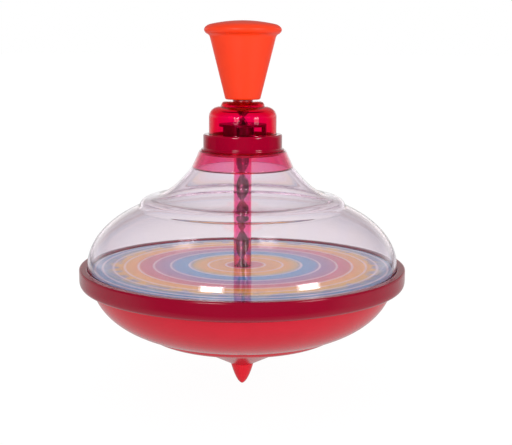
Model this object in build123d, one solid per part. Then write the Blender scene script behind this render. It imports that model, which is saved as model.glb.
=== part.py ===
"""Push-and-pump spinning top, built as the separate pieces that it comes apart into.

Millimetres, +Z up. The origin is the point of the spinning tip, on the spin axis. Every
height below is a rise on top of the piece before it, so a taller piece lifts all that
stands on it, and every radius is measured from the spin axis.
"""
from build123d import *
import math
import os

# ---- Tip and bottom cover -------------------------------------------------------------
tip_height = 13.0            # point of the tip up to the cover's boss
tip_radius = 6.85            # widest, where the tip meets the boss
tip_start_angle = 14.0       # slope of the blunt point, degrees from level
tip_side_angle = 75.0        # slope of the tip's side at the top
tip_point_pull = 3.3         # how far the blunt point reaches out before it turns up
tip_side_pull = 4.3
spigot_radius = 3.5          # peg of the tip in the boss
spigot_length = 9.5
boss_rise = 12.3             # cone of the cover around the tip
boss_base_radius = 30.6
dish_rise = 8.0              # shallow dish from the cone out to the cover's edge
cover_edge_height = 7.3      # from the dish up to the cover's top edge
cover_seam = 1.5             # radial, from the bowl's mouth in to the cover's edge
cover_corner_radius = 9.3    # full, round edge, most of the edge's height
dish_fillet_radius = 6.0     # from the dish into the cone
boss_fillet_radius = 0.3
cover_wall = 2.0
socket_wall = 2.4            # upright socket for the tube, inside the cover
socket_floor_gap = 0.5       # from the peg's end to the floor that the tube stands on
socket_depth = 12.0

# ---- Lower bowl and rim ---------------------------------------------------------------
bowl_mouth_radius = 61.0     # round opening that the bottom cover closes
bowl_lip_drop = 4.9          # the bowl's lower lip hangs below the cover's top edge
bowl_rise = 27.7             # lip up to the shoulder under the rim
bowl_shoulder_turn = 0.3     # radial room for the turn from bowl side to upright wall
bowl_shoulder_rise = 3.0
bowl_upright = 3.2           # upright wall inside the rim
bowl_wall = 2.0
bowl_low_angle = 20.0
bowl_high_angle = 76.0
bowl_low_pull = 22.8
bowl_high_pull = 6.6
bowl_ledge_width = 8.0       # inner ledge that the cover closes against
bowl_ledge_thickness = 1.8
flange_thickness = 1.6       # flanges of bowl and dome, clamped inside the rim
rim_radius = 94.9            # outside of the straight band of the rim
rim_wall = 1.8
rim_lip_inset = 1.2          # radial, from the bowl's shoulder in to the rim's lower edge
rim_lip_drop = 3.0           # the rim's lower edge hangs below the bowl's shoulder
rim_curve_rise = 6.1         # rounded underside of the rim
rim_start_angle = 36.0
rim_start_pull = 4.2
rim_end_pull = 5.5
rim_corner_radius = 0.9
rim_ledge = 4.7              # flat top of the rim, from the dome to its outside

# ---- Clear dome -----------------------------------------------------------------------
dome_wall = 1.8
crown_rise = 34.0            # full, rounded lower part
crown_pull_top = 22.0
crown_pull_foot = 12.5
crown_top_angle = -23.0
shoulder_radius = 60.0       # where the step meets the crown
shoulder_rise = 5.6          # height of the step
ledge_radius = 52.0          # where the flare runs out onto the step
shoulder_pull_ledge = 3.8
shoulder_pull_low = 4.6
shoulder_angle = -72.0
flare_rise = 16.1            # hollow curve up to the collar
flare_pull_ledge = 10.1
flare_pull_neck = 8.9
flare_neck_angle = -48.5
ledge_angle = -8.0
foot_height = 0.8            # straight foot of the crown above the rim's top
neck_wall = 1.6              # neck of the dome inside the collar, measured level

# ---- Collar, neck ring and clutch hub ---------------------------------------------------
collar_rise = 10.8
collar_foot_radius = 29.7
collar_top_radius = 24.9
collar_wall = 1.1
collar_plate = 1.0           # flat top of the collar, under the ring
ring_radius = 22.75
ring_wall = 1.75
ring_height = 9.2
ring_corner_radius = 1.2
ring_flange_radius = 24.0
ring_flange_thickness = 0.9
ring_spigot_length = 2.8     # part of the ring inside the dome's neck
ring_spigot_wall = 1.5
ring_lip_thickness = 1.6     # inward lip at the ring's top
hub_seat_width = 2.5         # inward ledge of the ring under the hub
hub_seat_thickness = 1.7
hub_floor_thickness = 2.0
hub_boss_rise = 5.6          # boss over the tube, above the floor
hub_boss_wall = 2.4
hub_stop_thickness = 1.6     # top of the boss, which stops the rod's end plug
rib_count = 6
rib_inner_radius = 9.5
rib_outer_radius = 14.5
rib_thickness = 2.4

# ---- Spindle tube and disc --------------------------------------------------------------
tube_radius = 5.15
tube_wall = 1.0
disc_thickness = 0.5
disc_drop = 1.2              # underside of the disc below the rim's top
tray_thickness = 1.8
tray_wall = 2.0
tray_hub_wall = 2.3
tray_hub_height = 7.8

# ---- Top cap, bush, drive nut ------------------------------------------------------------
cap_radius = 19.45
cap_wall = 1.6
cap_rise = 18.7              # above the neck ring
cap_boss_radius = 12.7       # low round boss on the cap
cap_boss_top_radius = 9.5
cap_boss_rise = 2.8
cap_boss_angle = -70.0       # slope of the boss's side, degrees from level
cap_shoulder_angle = -3.0    # slope of the cap just outside the boss
cap_shoulder_rise = 6.0
cap_shoulder_pull = 4.8
cap_side_pull = 2.8
bush_wall = 0.85
bush_flange_radius = 5.7
bush_flange_thickness = 0.55
bush_lip_radius = 5.0
bush_lip_thickness = 0.6
nut_radius = 13.7
nut_flange_thickness = 1.3
nut_height = 6.3
nut_hub_radius = 6.6
claw_count = 3
claw_width_angle = 39.0
claw_thickness = 2.0
claw_angle = -4.0            # first claw, degrees from +X
plate_radius = 5.6
plate_thickness = 1.2

# ---- Twisted rod and handle --------------------------------------------------------------
strip_width = 7.2
strip_thickness = 1.5
twist_pitch = 33.0           # rod length for one full, left-handed turn of the strip
edge_on_height = 109.85      # a height where the strip's width lies along Y
stroke = 82.5                # travel of the rod
plug_length = 7.0
rod_in_handle = 24.0         # length of rod inside the handle
handle_gap = 1.1             # cap's top to the handle's underside
handle_rise = 37.2
handle_foot_radius = 10.0
handle_top_radius = 19.25
handle_wall = 2.2
handle_corner_radius = 1.8
handle_boss_wall = 2.4
handle_boss_height = 26.0
cross_pin_radius = 1.0
cross_pin_drop = 6.0         # below the rod's upper end
cross_pin_inset = 0.5        # each end stops this far inside the boss
lid_rise = 7.3               # domed lid of the handle
lid_radius = 22.1
lid_edge_rise = 2.2
lid_under_radius = 20.7
lid_shoulder_radius = 18.6
lid_shoulder_drop = 2.1      # from the lid's top
lid_shoulder_angle = -13.0
lid_under_angle = -160.0     # slope of the rolled edge where it meets the cone
lid_wall = 2.0
lid_plug_depth = 5.0
lid_plug_wall = 1.6

# ---- Clearances ---------------------------------------------------------------------------
press_gap = 0.04             # radial, between pieces that are pushed together
seat_gap = 0.15              # radial, between shells that nest
running_gap = 0.08           # radial, between bush and cap
free_gap = 0.4               # between moving parts that never touch at rest
rod_gap = 0.12               # radial, around the rod's envelope
end_gap = 0.1                # along the axis, under the bush's flange

spline_steps = 12            # points on each curve that stands in for an offset curve

# ---- Heights ------------------------------------------------------------------------------
z_boss = tip_height
z_dish = z_boss + boss_rise
z_cover_edge = z_dish + dish_rise
z_cover_top = z_cover_edge + cover_edge_height
z_bowl_lip = z_cover_top - bowl_lip_drop
z_bowl_shoulder = z_bowl_lip + bowl_rise
z_seat = z_bowl_shoulder + bowl_shoulder_rise + bowl_upright
z_rim_top = z_seat + flange_thickness + rim_wall
z_foot = z_rim_top + foot_height
z_shoulder = z_foot + crown_rise
z_ledge = z_shoulder + shoulder_rise
z_collar_foot = z_ledge + flare_rise
z_collar_top = z_collar_foot + collar_rise
z_neck_top = z_collar_top - collar_plate
z_ring_top = z_collar_top + ring_height
z_hub = z_neck_top + hub_seat_thickness
z_hub_floor = z_hub + hub_floor_thickness
z_hub_top = z_hub_floor + hub_boss_rise
z_stop = z_hub_top - hub_stop_thickness
z_nut = z_hub_top + free_gap
z_nut_top = z_nut + nut_height
z_cap_top = z_ring_top + cap_rise
z_handle = z_cap_top + handle_gap
z_lid = z_handle + handle_rise
z_lid_top = z_lid + lid_rise
z_rod_top = z_handle + rod_in_handle
z_plug_top = z_stop - stroke
z_tube_foot = z_boss + spigot_length + socket_floor_gap
z_disc = z_rim_top - disc_drop

# ---- Radii that follow from what a piece fits -----------------------------------------------
dome_foot_radius = rim_radius - rim_ledge
dome_foot_inside = dome_foot_radius - dome_wall
flange_radius = rim_radius - rim_wall - seat_gap
tray_radius = dome_foot_inside - free_gap
bowl_top_radius = dome_foot_inside + free_gap
bowl_shoulder_radius = bowl_top_radius - bowl_shoulder_turn
rod_envelope = math.hypot(strip_width, strip_thickness) / 2
rod_bore_radius = rod_envelope + rod_gap
tube_bore_radius = tube_radius - tube_wall
tube_socket_radius = tube_radius + press_gap
plug_radius = tube_bore_radius - 2 * rod_gap
ring_inside = ring_radius - ring_wall
bush_radius = rod_bore_radius + bush_wall


def bezier(start, start_angle, start_pull, end, end_angle, end_pull):
    """Smooth curve that leaves start and reaches end along two slopes in degrees."""
    leave = math.radians(start_angle)
    arrive = math.radians(end_angle)
    first = (start[0] + start_pull * math.cos(leave), start[1] + start_pull * math.sin(leave))
    last = (end[0] - end_pull * math.cos(arrive), end[1] - end_pull * math.sin(arrive))
    return Bezier(start, first, last, end)


def band(inner, outer, low, high):
    """Rectangle of a section, between two radii and two heights."""
    return Pos((inner + outer) / 2, (low + high) / 2) * Rectangle(outer - inner, high - low)


def outline(*edges):
    """Closed section from edges that meet end to end."""
    return make_face(Curve() + list(edges))


def as_splines(edges):
    """The same edges, with each offset curve as a spline through points of it."""
    plain = []
    for edge in edges:
        if edge.geom_type == GeomType.OFFSET:
            points = [edge @ (step / spline_steps) for step in range(spline_steps + 1)]
            plain.append(Spline(*points, tangents=(edge % 0, edge % 1)))
        else:
            plain.append(edge)
    return plain


def wall_of(edges, wall, side):
    """Section of a shell whose outside follows the edges."""
    walls = offset(Curve() + list(edges), wall, side=side, closed=True)
    return make_face(as_splines(walls.edges()))


def turned(section):
    """Solid of revolution about the spin axis."""
    return revolve(Plane.XZ * section, axis=Axis.Z)


def cylinder(radius, low, high):
    """Upright cylinder on the spin axis."""
    return Pos(0, 0, (low + high) / 2) * Cylinder(radius, high - low)


def strip_angle(height):
    """Direction of the strip's width at a height, in degrees from +X."""
    return 90 - 360 * (height - edge_on_height) / twist_pitch


def twisted_strip(width, thickness, low, high):
    """Flat strip, twisted left-handed about the spin axis."""
    section = Pos(0, 0, low) * Rot(0, 0, strip_angle(low)) * Rectangle(width, thickness)
    turn = strip_angle(high) - strip_angle(low)
    rise = Vector(0, 0, high - low)
    return Part() + Solid.extrude_linear_with_rotation(section.face(), (0, 0, low), rise, turn)


# ---- Tip, bottom cover, bowl, rim ------------------------------------------------------------
def make_spinning_tip():
    """Blunt cone that the top spins on, with a peg that is pressed into the cover."""
    point = (0, 0)
    top = (tip_radius, tip_height)
    side = bezier(point, tip_start_angle, tip_point_pull, top, tip_side_angle, tip_side_pull)
    peg_foot = (spigot_radius, tip_height)
    peg_top = (spigot_radius, tip_height + spigot_length)
    rest = Polyline(top, peg_foot, peg_top, (0, peg_top[1]), point)
    return turned(outline(side, rest))


def make_bottom_cover():
    """Dished cover with a cone for the tip and an upright socket for the tube."""
    cover_radius = bowl_mouth_radius - cover_seam
    peg_hole = spigot_radius + press_gap
    path = FilletPolyline(
        (cover_radius, z_cover_top),
        (cover_radius, z_cover_edge),
        (boss_base_radius, z_dish),
        (tip_radius, z_boss),
        (peg_hole, z_boss),
        radius=[cover_corner_radius, dish_fillet_radius, boss_fillet_radius],
    )
    section = wall_of([path], cover_wall, Side.RIGHT)
    socket_outside = tube_socket_radius + socket_wall
    socket_low = z_boss + cover_wall / 2
    section += band(peg_hole, socket_outside, socket_low, z_tube_foot + socket_depth)
    section -= band(0, tube_socket_radius, z_tube_foot, z_tube_foot + 2 * socket_depth)
    return turned(section)


def bowl_side():
    """Outside of the bowl, from its lower lip up to the parting line inside the rim."""
    lip = (bowl_mouth_radius, z_bowl_lip)
    shoulder = (bowl_shoulder_radius, z_bowl_shoulder)
    wall_foot = (bowl_top_radius, z_bowl_shoulder + bowl_shoulder_rise)
    turn = bowl_shoulder_turn / 2
    return [
        bezier(lip, bowl_low_angle, bowl_low_pull, shoulder, bowl_high_angle, bowl_high_pull),
        bezier(shoulder, bowl_high_angle, turn, wall_foot, 90, bowl_shoulder_rise / 2),
        Line(wall_foot, (bowl_top_radius, z_seat)),
    ]


def make_lower_bowl():
    """Bowl with a flange at its parting line, and a collar and ledge that the cover fits."""
    section = wall_of(bowl_side(), bowl_wall, Side.LEFT)
    section += band(bowl_top_radius - bowl_wall / 2, flange_radius, z_seat - flange_thickness, z_seat)
    ledge_outside = bowl_mouth_radius + bowl_ledge_thickness
    ledge_top = z_cover_top + bowl_ledge_thickness
    section += band(bowl_mouth_radius, ledge_outside, z_bowl_lip + bowl_wall / 2, ledge_top)
    section += band(bowl_mouth_radius - bowl_ledge_width, ledge_outside, z_cover_top, ledge_top)
    return turned(section)


def make_rim_ring():
    """Hollow rim that holds the flanges of bowl and dome together."""
    start = (bowl_shoulder_radius - rim_lip_inset, z_bowl_shoulder - rim_lip_drop)
    band_foot = (rim_radius, start[1] + rim_curve_rise)
    corner_foot = (rim_radius, z_rim_top - rim_corner_radius)
    corner_top = (rim_radius - rim_corner_radius, z_rim_top)
    path = [
        bezier(start, rim_start_angle, rim_start_pull, band_foot, 90, rim_end_pull),
        Line(band_foot, corner_foot),
        RadiusArc(corner_foot, corner_top, -rim_corner_radius),
        Line(corner_top, (dome_foot_radius + seat_gap, z_rim_top)),
    ]
    section = wall_of(path, rim_wall, Side.LEFT)
    bowl_path = Curve() + bowl_side()
    inner_edge = Polyline((bowl_top_radius, z_seat), (0, z_seat), (0, z_bowl_lip), bowl_path @ 0)
    bowl_bulk = make_face(bowl_path + inner_edge)
    section -= make_face(as_splines(offset(bowl_bulk, seat_gap).edges()))
    section -= band(0, flange_radius + seat_gap, z_seat - flange_thickness - seat_gap, z_seat)
    return turned(section)


# ---- Disc, tray and tube ---------------------------------------------------------------------
def make_disc_tray():
    """Flat tray on the bowl's edge, with a hub that steadies the tube."""
    bore = tube_radius + seat_gap
    section = band(bore, tray_radius, z_disc - tray_thickness, z_disc)
    section += band(tray_radius - tray_wall, tray_radius, z_seat, z_disc)
    section += band(bore, bore + tray_hub_wall, z_disc - tray_hub_height, z_disc)
    return turned(section)


def make_printed_disc():
    """Thin printed disc that lies on the tray."""
    return turned(band(tube_radius + seat_gap, tray_radius, z_disc, z_disc + disc_thickness))


def make_spindle_tube():
    """Tube from the cover's socket up into the clutch hub, which the rod runs in."""
    return turned(band(tube_bore_radius, tube_radius, z_tube_foot, z_stop))


# ---- Dome and collar -------------------------------------------------------------------------
def collar_radius(height):
    """Outside of the collar at a height."""
    share = (z_collar_top - height) / collar_rise
    return collar_top_radius + share * (collar_foot_radius - collar_top_radius)


def neck_radius(height):
    """Outside of the dome's neck, which stands inside the collar."""
    slope = math.atan2(collar_foot_radius - collar_top_radius, collar_rise)
    return collar_radius(height) - collar_wall / math.cos(slope) - seat_gap


def make_clear_dome():
    """Clear dome: flange, full crown, step, hollow flare and a neck inside the collar."""
    neck = (collar_foot_radius, z_collar_foot)
    ledge = (ledge_radius, z_ledge)
    shoulder = (shoulder_radius, z_shoulder)
    foot = (dome_foot_radius, z_foot)
    path = [
        bezier(neck, flare_neck_angle, flare_pull_neck, ledge, ledge_angle, flare_pull_ledge),
        bezier(ledge, ledge_angle, shoulder_pull_ledge, shoulder, shoulder_angle,
               shoulder_pull_low),
        bezier(shoulder, crown_top_angle, crown_pull_top, foot, -90, crown_pull_foot),
        Line(foot, (dome_foot_radius, z_seat)),
    ]
    section = wall_of(path, dome_wall, Side.RIGHT)
    section += band(dome_foot_inside, flange_radius, z_seat, z_seat + flange_thickness)
    slope = math.radians(flare_neck_angle)
    inside = (neck[0] + dome_wall * math.sin(slope), neck[1] - dome_wall * math.cos(slope))
    section += make_face(Polyline(
        (neck_radius(z_neck_top), z_neck_top),
        (neck_radius(z_collar_foot), z_collar_foot),
        neck,
        inside,
        (neck_radius(z_collar_foot) - neck_wall, z_collar_foot),
        (neck_radius(z_neck_top) - neck_wall, z_neck_top),
        close=True,
    ))
    return turned(section)


def make_skirt_collar():
    """Conical collar that is flush with the dome's flare, with a flat top plate."""
    foot = (collar_foot_radius, z_collar_foot)
    top = (collar_top_radius, z_collar_top)
    section = wall_of([Line(foot, top)], collar_wall, Side.LEFT)
    trim = band(0, 2 * collar_foot_radius, z_collar_top, z_collar_top + collar_rise)
    trim += band(0, 2 * collar_foot_radius, z_collar_foot - collar_rise, z_collar_foot)
    section -= trim
    hole = ring_spigot_radius() + seat_gap
    section += band(hole, collar_top_radius, z_neck_top, z_collar_top)
    return turned(section)


def ring_spigot_radius():
    """Outside of the ring's spigot, which drops into the dome's neck."""
    return neck_radius(z_neck_top) - neck_wall - seat_gap


# ---- Neck ring, clutch hub, cap ----------------------------------------------------------------
def make_neck_ring():
    """Ring around the cap's foot, with a ledge that carries the clutch hub."""
    spigot = ring_spigot_radius()
    low = z_collar_top - ring_spigot_length
    corner_foot = (ring_radius, z_ring_top - ring_corner_radius)
    corner_top = (ring_radius - ring_corner_radius, z_ring_top)
    lip = cap_radius + seat_gap
    under_lip = z_ring_top - ring_lip_thickness
    seat = ring_inside - hub_seat_width
    outside = Polyline(
        (spigot - ring_spigot_wall, low),
        (spigot, low),
        (spigot, z_collar_top),
        (ring_flange_radius, z_collar_top),
        (ring_flange_radius, z_collar_top + ring_flange_thickness),
        (ring_radius, z_collar_top + ring_flange_thickness),
        corner_foot,
    )
    corner = RadiusArc(corner_foot, corner_top, -ring_corner_radius)
    inside = Polyline(
        corner_top,
        (lip, z_ring_top),
        (lip, under_lip),
        (ring_inside, under_lip),
        (ring_inside, z_hub),
        (seat, z_hub),
        (seat, z_neck_top),
        (spigot - ring_spigot_wall, z_neck_top),
        (spigot - ring_spigot_wall, low),
    )
    return turned(outline(outside, corner, inside))


def make_clutch_hub():
    """Floor of the clutch: tube socket in the middle, ribs that the nut's claws push on."""
    boss = tube_socket_radius + hub_boss_wall
    section = band(tube_socket_radius, ring_inside - seat_gap, z_hub, z_hub_floor)
    section += band(tube_socket_radius, boss, z_hub, z_hub_top)
    section += band(rod_bore_radius, boss, z_stop, z_hub_top)
    hub = turned(section)
    rib_length = rib_outer_radius - rib_inner_radius
    rib_height = z_hub_top - z_hub_floor
    rib = Pos((rib_inner_radius + rib_outer_radius) / 2, 0, z_hub_floor + rib_height / 2) * Box(
        rib_length, rib_thickness, rib_height)
    for count in range(rib_count):
        hub += Rot(0, 0, 360 * count / rib_count) * rib
    return hub


def make_top_cap():
    """Clear cap over the clutch, with a low boss and a hole for the bush."""
    hole = bush_radius + running_gap
    boss_top = (cap_boss_top_radius, z_cap_top)
    boss_foot = (cap_boss_radius, z_cap_top - cap_boss_rise)
    side = (cap_radius, boss_foot[1] - cap_shoulder_rise)
    path = [
        Line((hole, z_cap_top), boss_top),
        bezier(boss_top, 0, cap_boss_rise, boss_foot, cap_boss_angle, cap_boss_rise / 2),
        bezier(boss_foot, cap_shoulder_angle, cap_shoulder_pull, side, -90, cap_side_pull),
        Line(side, (cap_radius, z_hub_floor)),
    ]
    return turned(wall_of(path, cap_wall, Side.RIGHT))


def make_guide_bush():
    """Dark bush that turns in the cap's hole and guides the rod."""
    flange_low = z_cap_top + end_gap
    flange_top = flange_low + bush_flange_thickness
    lip_top = z_cap_top - cap_wall - free_gap
    lip_low = lip_top - bush_lip_thickness
    section = band(rod_bore_radius, bush_radius, lip_low, flange_top)
    section += band(rod_bore_radius, bush_flange_radius, flange_low, flange_top)
    section += band(rod_bore_radius, bush_lip_radius, lip_low, lip_top)
    return turned(section)


# ---- Drive nut and its plate ---------------------------------------------------------------------
def make_drive_nut():
    """Nut that the rod turns: hub, flange and claws that drive the clutch hub's ribs."""
    flange_low = z_nut_top - nut_flange_thickness
    plate_low = z_nut_top - plate_thickness
    section = band(rod_bore_radius + rod_gap, nut_hub_radius, z_nut, z_nut_top)
    section += band(rod_bore_radius + rod_gap, nut_radius, flange_low, z_nut_top)
    section -= band(0, plate_radius + press_gap, plate_low, z_nut_top)
    nut = turned(section)
    claw_section = Plane.XZ * band(nut_radius - claw_thickness, nut_radius, z_nut, flange_low)
    claw = revolve(claw_section, axis=Axis.Z, revolution_arc=claw_width_angle)
    for count in range(claw_count):
        turn = claw_angle - claw_width_angle / 2 + 360 * count / claw_count
        nut += Rot(0, 0, turn) * claw
    return nut


def make_drive_plate():
    """Steel plate in the nut, with the slot that follows the twisted rod."""
    low = z_nut_top - plate_thickness
    middle = z_nut_top - plate_thickness / 2
    half_twist = math.radians(180 * plate_thickness / twist_pitch)
    slot_thickness = strip_thickness + strip_width * math.sin(half_twist) + 2 * rod_gap
    slot_width = strip_width + 4 * rod_gap
    slot = Pos(0, 0, middle) * Rot(0, 0, strip_angle(middle)) * Box(
        slot_width, slot_thickness, 2 * plate_thickness)
    return cylinder(plate_radius, low, z_nut_top) - slot


# ---- Rod and handle --------------------------------------------------------------------------------
def cross_pin(radius, length):
    """Pin square to the strip, near the rod's upper end."""
    height = z_rod_top - cross_pin_drop
    place = Pos(0, 0, height) * Rot(0, 0, strip_angle(height)) * Rot(90, 0, 0)
    return place * Cylinder(radius, length)


def make_twisted_rod():
    """Steel strip, twisted into a coarse screw, with a hole for the cross pin."""
    low = z_plug_top - plug_length + strip_thickness
    rod = twisted_strip(strip_width, strip_thickness, low, z_rod_top)
    return rod - cross_pin(cross_pin_radius + press_gap, 2 * strip_width)


def make_rod_end_plug():
    """Plug moulded on the rod's lower end, which stops it under the clutch hub."""
    low = z_plug_top - plug_length
    plug = cylinder(plug_radius, low, z_plug_top)
    seat_low = low + strip_thickness
    grow = 2 * press_gap
    return plug - twisted_strip(strip_width + grow, strip_thickness + grow, seat_low, z_plug_top)


def make_handle_body():
    """Hollow cone of the handle, with a boss that the rod is pinned in."""
    path = FilletPolyline(
        (rod_bore_radius, z_handle),
        (handle_foot_radius, z_handle),
        (handle_top_radius, z_lid),
        radius=handle_corner_radius,
    )
    section = wall_of([path], handle_wall, Side.LEFT)
    trim = band(0, 2 * handle_top_radius, z_lid, z_lid + handle_rise)
    section -= trim
    boss = rod_bore_radius + handle_boss_wall
    section += band(rod_bore_radius, boss, z_handle, z_handle + handle_boss_height)
    return turned(section) - cross_pin(cross_pin_radius + press_gap, 4 * boss)


def make_handle_cross_pin():
    """Steel pin through the handle's boss and the rod."""
    boss = rod_bore_radius + handle_boss_wall
    return cross_pin(cross_pin_radius, 2 * (boss - cross_pin_inset))


def make_handle_lid():
    """Domed lid with a rolled edge and a plug that fits the handle's cone."""
    cone = (handle_top_radius - handle_foot_radius) / handle_rise
    plug_low = z_lid - lid_plug_depth
    plug = handle_top_radius - cone * lid_plug_depth - handle_wall - cone * handle_wall - seat_gap
    shoulder = (lid_shoulder_radius, z_lid_top - lid_shoulder_drop)
    edge = (lid_radius, z_lid + lid_edge_rise)
    under = (lid_under_radius, z_lid)
    edges = [
        bezier((0, z_lid_top), 0, lid_shoulder_radius / 2, shoulder, lid_shoulder_angle, lid_wall),
        bezier(shoulder, lid_shoulder_angle, lid_wall, edge, -90, lid_wall / 2),
        bezier(edge, -90, lid_edge_rise / 2, under, lid_under_angle, lid_edge_rise / 4),
        Polyline(
            under,
            (plug, z_lid),
            (plug, plug_low),
            (plug - lid_plug_wall, plug_low),
            (plug - lid_plug_wall, shoulder[1] - lid_wall),
            (0, z_lid_top - lid_wall),
            (0, z_lid_top),
        ),
    ]
    return turned(outline(*edges))


PIECES = {
    "spinning_tip": make_spinning_tip,
    "bottom_cover": make_bottom_cover,
    "lower_bowl": make_lower_bowl,
    "rim_ring": make_rim_ring,
    "disc_tray": make_disc_tray,
    "printed_disc": make_printed_disc,
    "spindle_tube": make_spindle_tube,
    "clear_dome": make_clear_dome,
    "skirt_collar": make_skirt_collar,
    "neck_ring": make_neck_ring,
    "clutch_hub": make_clutch_hub,
    "top_cap": make_top_cap,
    "guide_bush": make_guide_bush,
    "drive_nut": make_drive_nut,
    "drive_plate": make_drive_plate,
    "twisted_rod": make_twisted_rod,
    "rod_end_plug": make_rod_end_plug,
    "handle_body": make_handle_body,
    "handle_cross_pin": make_handle_cross_pin,
    "handle_lid": make_handle_lid,
}

os.makedirs("parts", exist_ok=True)
for name, make in PIECES.items():
    export_step(make(), f"parts/{name}.step")
    print("made", name)
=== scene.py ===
# %% [markdown]
# # A pump-action spinning top
# The parts of the top come in as a fixed frame: every shell, shaft and ring already lies where it
# belongs, in metres, with the point of the tip at the origin and +Z along the spin axis. This
# lesson gives them their looks. Almost every visible piece of a top is turned, so each shell is
# rebuilt here as a smooth surface of revolution in the same place. The disc, its tray and the
# mechanism inside keep the frame's own meshes.

import bpy
import numpy as np
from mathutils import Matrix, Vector


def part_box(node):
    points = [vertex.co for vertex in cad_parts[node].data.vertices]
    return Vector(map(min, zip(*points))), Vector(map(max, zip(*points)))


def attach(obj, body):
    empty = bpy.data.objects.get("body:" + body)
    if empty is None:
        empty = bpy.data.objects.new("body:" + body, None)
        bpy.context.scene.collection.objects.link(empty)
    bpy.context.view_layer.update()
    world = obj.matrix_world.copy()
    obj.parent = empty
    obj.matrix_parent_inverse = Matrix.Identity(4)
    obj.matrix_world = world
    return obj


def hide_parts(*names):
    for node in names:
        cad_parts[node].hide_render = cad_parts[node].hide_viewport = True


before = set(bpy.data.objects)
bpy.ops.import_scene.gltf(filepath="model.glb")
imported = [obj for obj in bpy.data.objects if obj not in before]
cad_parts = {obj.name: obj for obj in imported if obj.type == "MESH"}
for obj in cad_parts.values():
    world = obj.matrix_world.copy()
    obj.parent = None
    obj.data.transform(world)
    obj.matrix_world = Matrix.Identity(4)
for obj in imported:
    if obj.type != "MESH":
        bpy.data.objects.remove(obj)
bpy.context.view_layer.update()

# %% [markdown]
# ## Colours and nodes
# A material could be clicked together in the shader editor, or written line by line. Here colours
# are sRGB hex values, as a paint chart gives them, and one function turns them to linear light.
# One more function adds a shader node with its settings and links, so that a material reads as a
# short list of what it is made of.

# %% Colour and node tools
MM = 0.001
PER_MM = 1000.0          # a noise scale of PER_MM / d gives about one lump in d millimetres


def linear(hex_code):
    """Linear RGBA of an sRGB hex colour: c / 12.92 in the toe, and above it the power 2.4 of
    (c + 0.055) / 1.055."""
    value = np.array([int(hex_code[place:place + 2], 16) for place in (1, 3, 5)]) / 255
    toe = value / 12.92
    curve = ((value + 0.055) / 1.055) ** 2.4
    return (*np.where(value <= 0.04045, toe, curve).tolist(), 1.0)


def add(tree, kind, settings=None, links=None):
    """Adds a node. A setting names an input or an attribute. A link feeds an input from an output,
    or from the first output of a node."""
    node = tree.nodes.new(kind)
    for name, value in (settings or {}).items():
        if isinstance(name, int) or name in node.inputs:
            node.inputs[name].default_value = value
        else:
            setattr(node, name, value)
    for name, source in (links or {}).items():
        output = source if isinstance(source, bpy.types.NodeSocket) else source.outputs[0]
        tree.links.new(output, node.inputs[name])
    return node


def new_material(name):
    """An empty node material and its tree."""
    material = bpy.data.materials.new(name)
    material.use_nodes = True
    material.node_tree.nodes.clear()
    return material, material.node_tree


def paint(node_name, material):
    """Gives a node of the frame its material."""
    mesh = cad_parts[node_name].data
    mesh.materials.clear()
    mesh.materials.append(material)


WHITE, BLACK = linear("#FFFFFF"), linear("#000000")
print("colour tool: middle grey is", round(linear("#808080")[0], 3), "in linear light")

# %% [markdown]
# ## Curves of a profile
# A turned shell is a closed outline of radius and height, carried once round the axis. Such an
# outline could be a long list of measured points, which never comes out smooth. Here it is made
# of cubic curves, given by the two slopes that they leave and arrive with, and of straight runs.
# A wall's inner face is its outer face moved sideways. Everything is worked out as whole arrays,
# in millimetres.

# %% Curve tools
def curve(start, end, leave, arrive, steps=40):
    """Cubic Bezier from A = start to D = end: (1-t)^3 A + 3t(1-t)^2 B + 3t^2(1-t) C + t^3 D. leave
    and arrive are (slope in degrees, pull in mm): B is the pull after A, and C before D."""
    leave_angle, arrive_angle = np.radians(leave[0]), np.radians(arrive[0])
    a, d = np.array(start, float), np.array(end, float)
    b = a + leave[1] * np.array([np.cos(leave_angle), np.sin(leave_angle)])
    c = d - arrive[1] * np.array([np.cos(arrive_angle), np.sin(arrive_angle)])
    t = np.linspace(0, 1, steps)[:, None]
    return (1 - t) ** 3 * a + 3 * t * (1 - t) ** 2 * b + 3 * t ** 2 * (1 - t) * c + t ** 3 * d


def beside(line, distance):
    """The line moved sideways: each point goes along the unit normal, to the right for a positive
    distance, where the direction of travel is the gradient of the points."""
    travel = np.gradient(line, axis=0)
    travel /= np.linalg.norm(travel, axis=1)[:, None]
    return line + distance * np.stack([travel[:, 1], -travel[:, 0]], 1)


quarter = curve((1.0, 0.0), (0.0, 1.0), leave=(90.0, 0.5523), arrive=(180.0, 0.5523))
print("curve tool: a quarter circle strays by", round(np.ptp(np.linalg.norm(quarter, axis=1)), 5))

# %% [markdown]
# ## Corners of a profile
# No moulded edge is sharp: the tool's corners have a radius, and that radius catches the light as
# a thin bright line. A Bevel modifier could round the finished mesh, but on a turned piece it is
# simpler and cleaner to round the outline first. The smooth shading of a rounded corner would
# then lean over into a long wall beside it and bend its mirror image, so each long run also gets
# a point close to either end, where the lean stops.

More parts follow.
